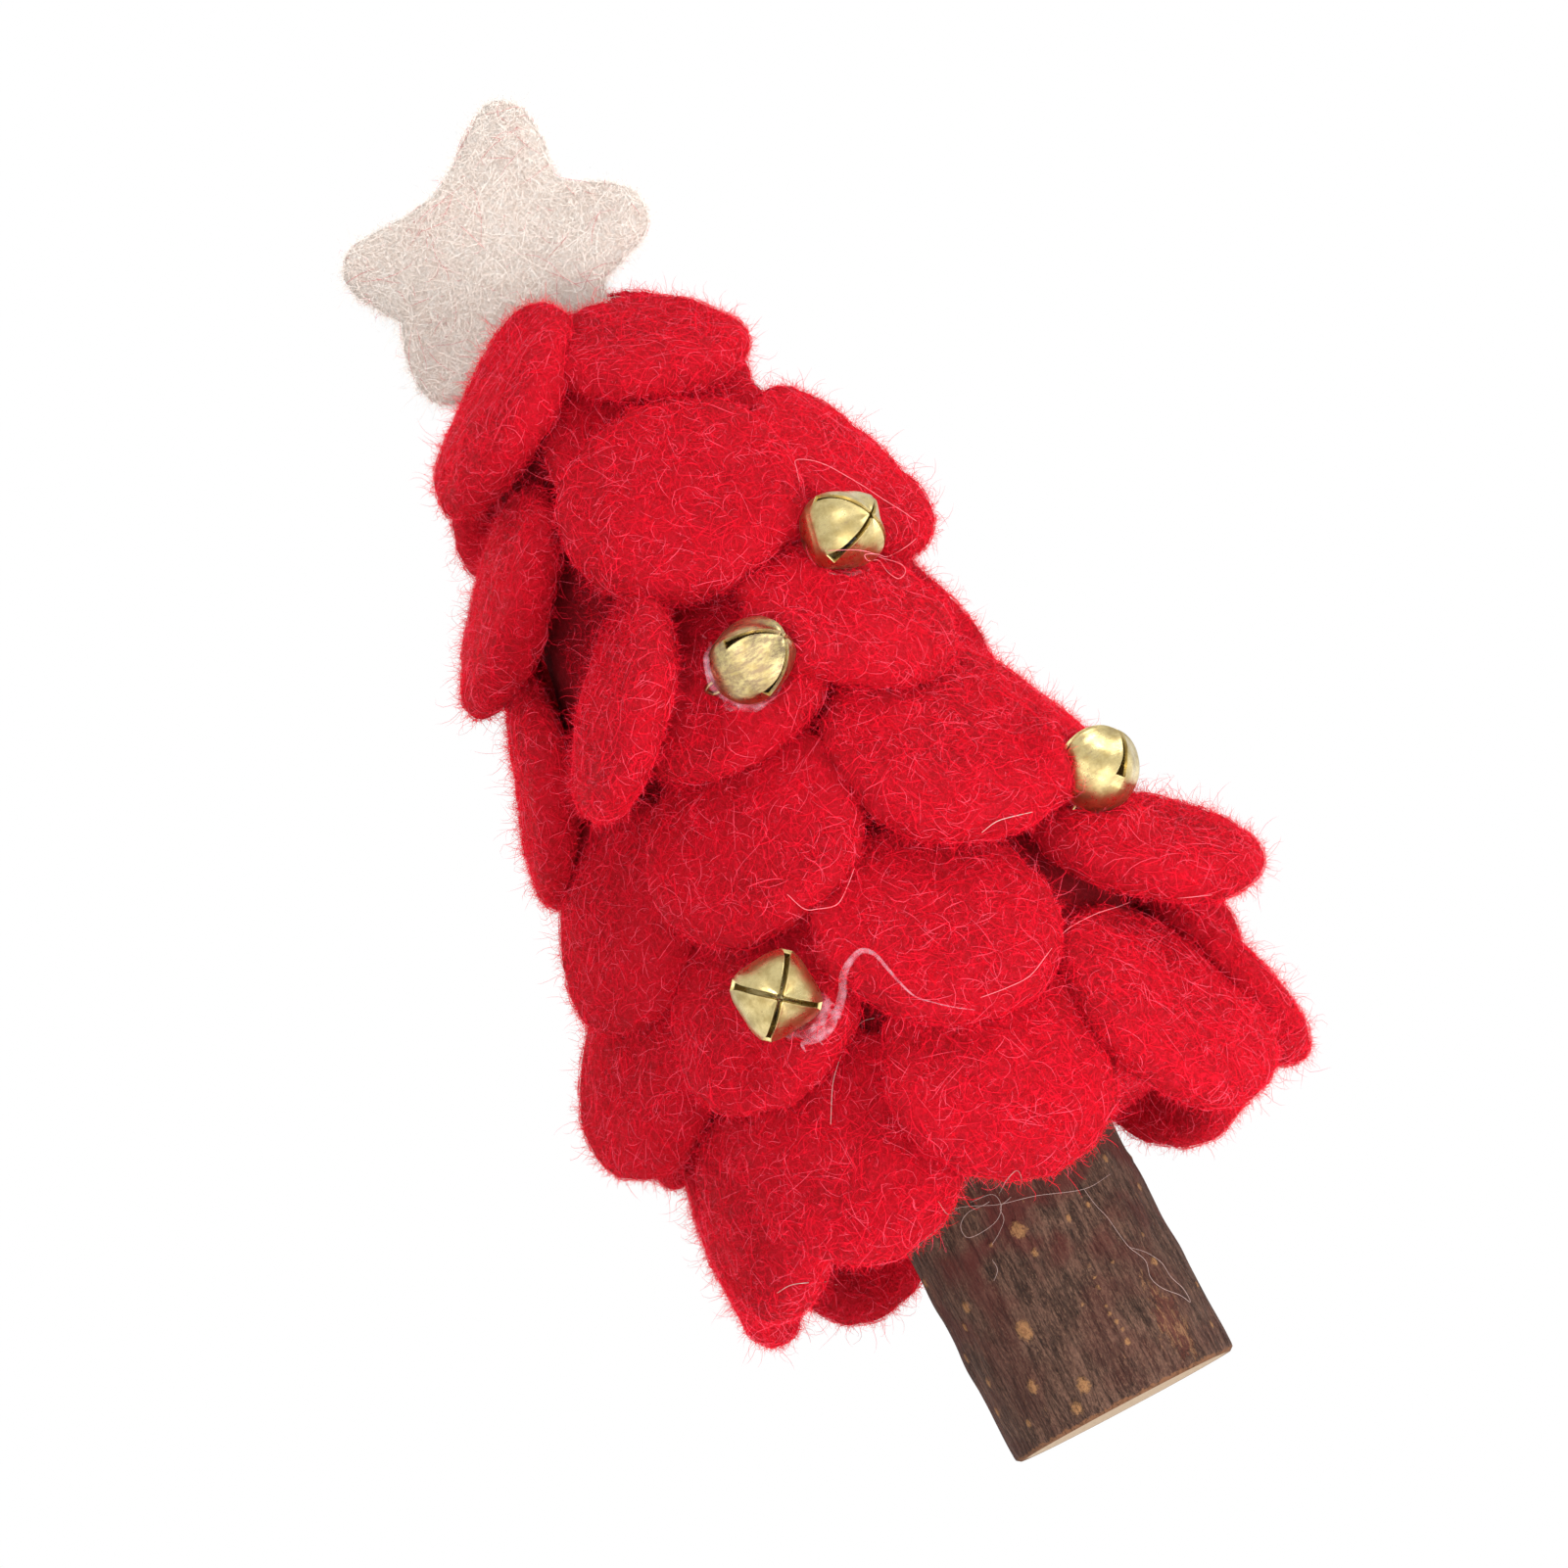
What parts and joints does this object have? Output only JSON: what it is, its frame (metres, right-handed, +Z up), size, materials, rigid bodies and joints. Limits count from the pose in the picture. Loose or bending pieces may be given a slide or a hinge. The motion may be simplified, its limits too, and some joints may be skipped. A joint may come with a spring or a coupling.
{
  "type": "felt christmas ornament",
  "caption": "Small standing Christmas tree of overlapping felt discs on a sawn log, with a felt star at the tip and slotted jingle bells.",
  "frame": {"origin": "middle of the log's sawn foot, on the surface the tree stands on", "axes": "+Z up the tree, +X to the tree's right as the picture shows it, -Y towards its front, which the bells and the star face"},
  "size_m": [0.0839, 0.0822, 0.1808],
  "materials": {
    "bark": "matte",
    "red_felt": "matte",
    "core_felt": "matte",
    "cream_felt": "matte",
    "brass": "satin",
    "steel": "satin",
    "hot_glue": "satin"
  },
  "bodies": {
    "tree": {"trunk_log": "bark", "core_cone": "core_felt", "star": "cream_felt", "row1_disc1": "red_felt", "row1_disc2": "red_felt", "row1_disc3": "red_felt", "row1_disc4": "red_felt", "row1_disc5": "red_felt", "row1_disc6": "red_felt", "row1_disc7": "red_felt", "row1_disc8": "red_felt", "row1_disc9": "red_felt", "row2_disc1": "red_felt", "row2_disc2": "red_felt", "row2_disc3": "red_felt", "row2_disc4": "red_felt", "row2_disc5": "red_felt", "row2_disc6": "red_felt", "row2_disc7": "red_felt", "row2_disc8": "red_felt", "row3_disc1": "red_felt", "row3_disc2": "red_felt", "row3_disc3": "red_felt", "row3_disc4": "red_felt", "row3_disc5": "red_felt", "row3_disc6": "red_felt", "row3_disc7": "red_felt", "row4_disc1": "red_felt", "row4_disc2": "red_felt", "row4_disc3": "red_felt", "row4_disc4": "red_felt", "row4_disc5": "red_felt", "row4_disc6": "red_felt", "row4_disc7": "red_felt", "row5_disc1": "red_felt", "row5_disc2": "red_felt", "row5_disc3": "red_felt", "row5_disc4": "red_felt", "row5_disc5": "red_felt", "row5_disc6": "red_felt", "row6_disc1": "red_felt", "row6_disc2": "red_felt", "row6_disc3": "red_felt", "row6_disc4": "red_felt", "bell1_shell": "brass", "bell1_loop": "brass", "bell1_glue": "hot_glue", "bell2_shell": "brass", "bell2_loop": "brass", "bell2_glue": "hot_glue", "bell3_shell": "brass", "bell3_loop": "brass", "bell3_glue": "hot_glue", "bell4_shell": "brass", "bell4_loop": "brass", "bell4_glue": "hot_glue"},
    "bell1_ball": {"bell1_ball": "steel"},
    "bell2_ball": {"bell2_ball": "steel"},
    "bell3_ball": {"bell3_ball": "steel"},
    "bell4_ball": {"bell4_ball": "steel"}
  },
  "joints": [
    {"name": "bell1_ball_roll", "type": "hinge", "parent": "tree", "child": "bell1_ball", "pos_m": [-0.01259, -0.04003, 0.05426], "axis": [0.2, -0.9798, 0], "range_deg": [-90, 90]},
    {"name": "bell2_ball_roll", "type": "hinge", "parent": "tree", "child": "bell2_ball", "pos_m": [0.00204, -0.03749, 0.08924], "axis": [0, -1, 0], "range_deg": [-90, 90]},
    {"name": "bell3_ball_roll", "type": "hinge", "parent": "tree", "child": "bell3_ball", "pos_m": [0.0182, -0.03028, 0.09986], "axis": [0.5, -0.866, 0], "range_deg": [-90, 90]},
    {"name": "bell4_ball_roll", "type": "hinge", "parent": "tree", "child": "bell4_ball", "pos_m": [0.03098, -0.02249, 0.06304], "axis": [0.6, -0.8, 0], "range_deg": [-90, 90]}
  ]
}
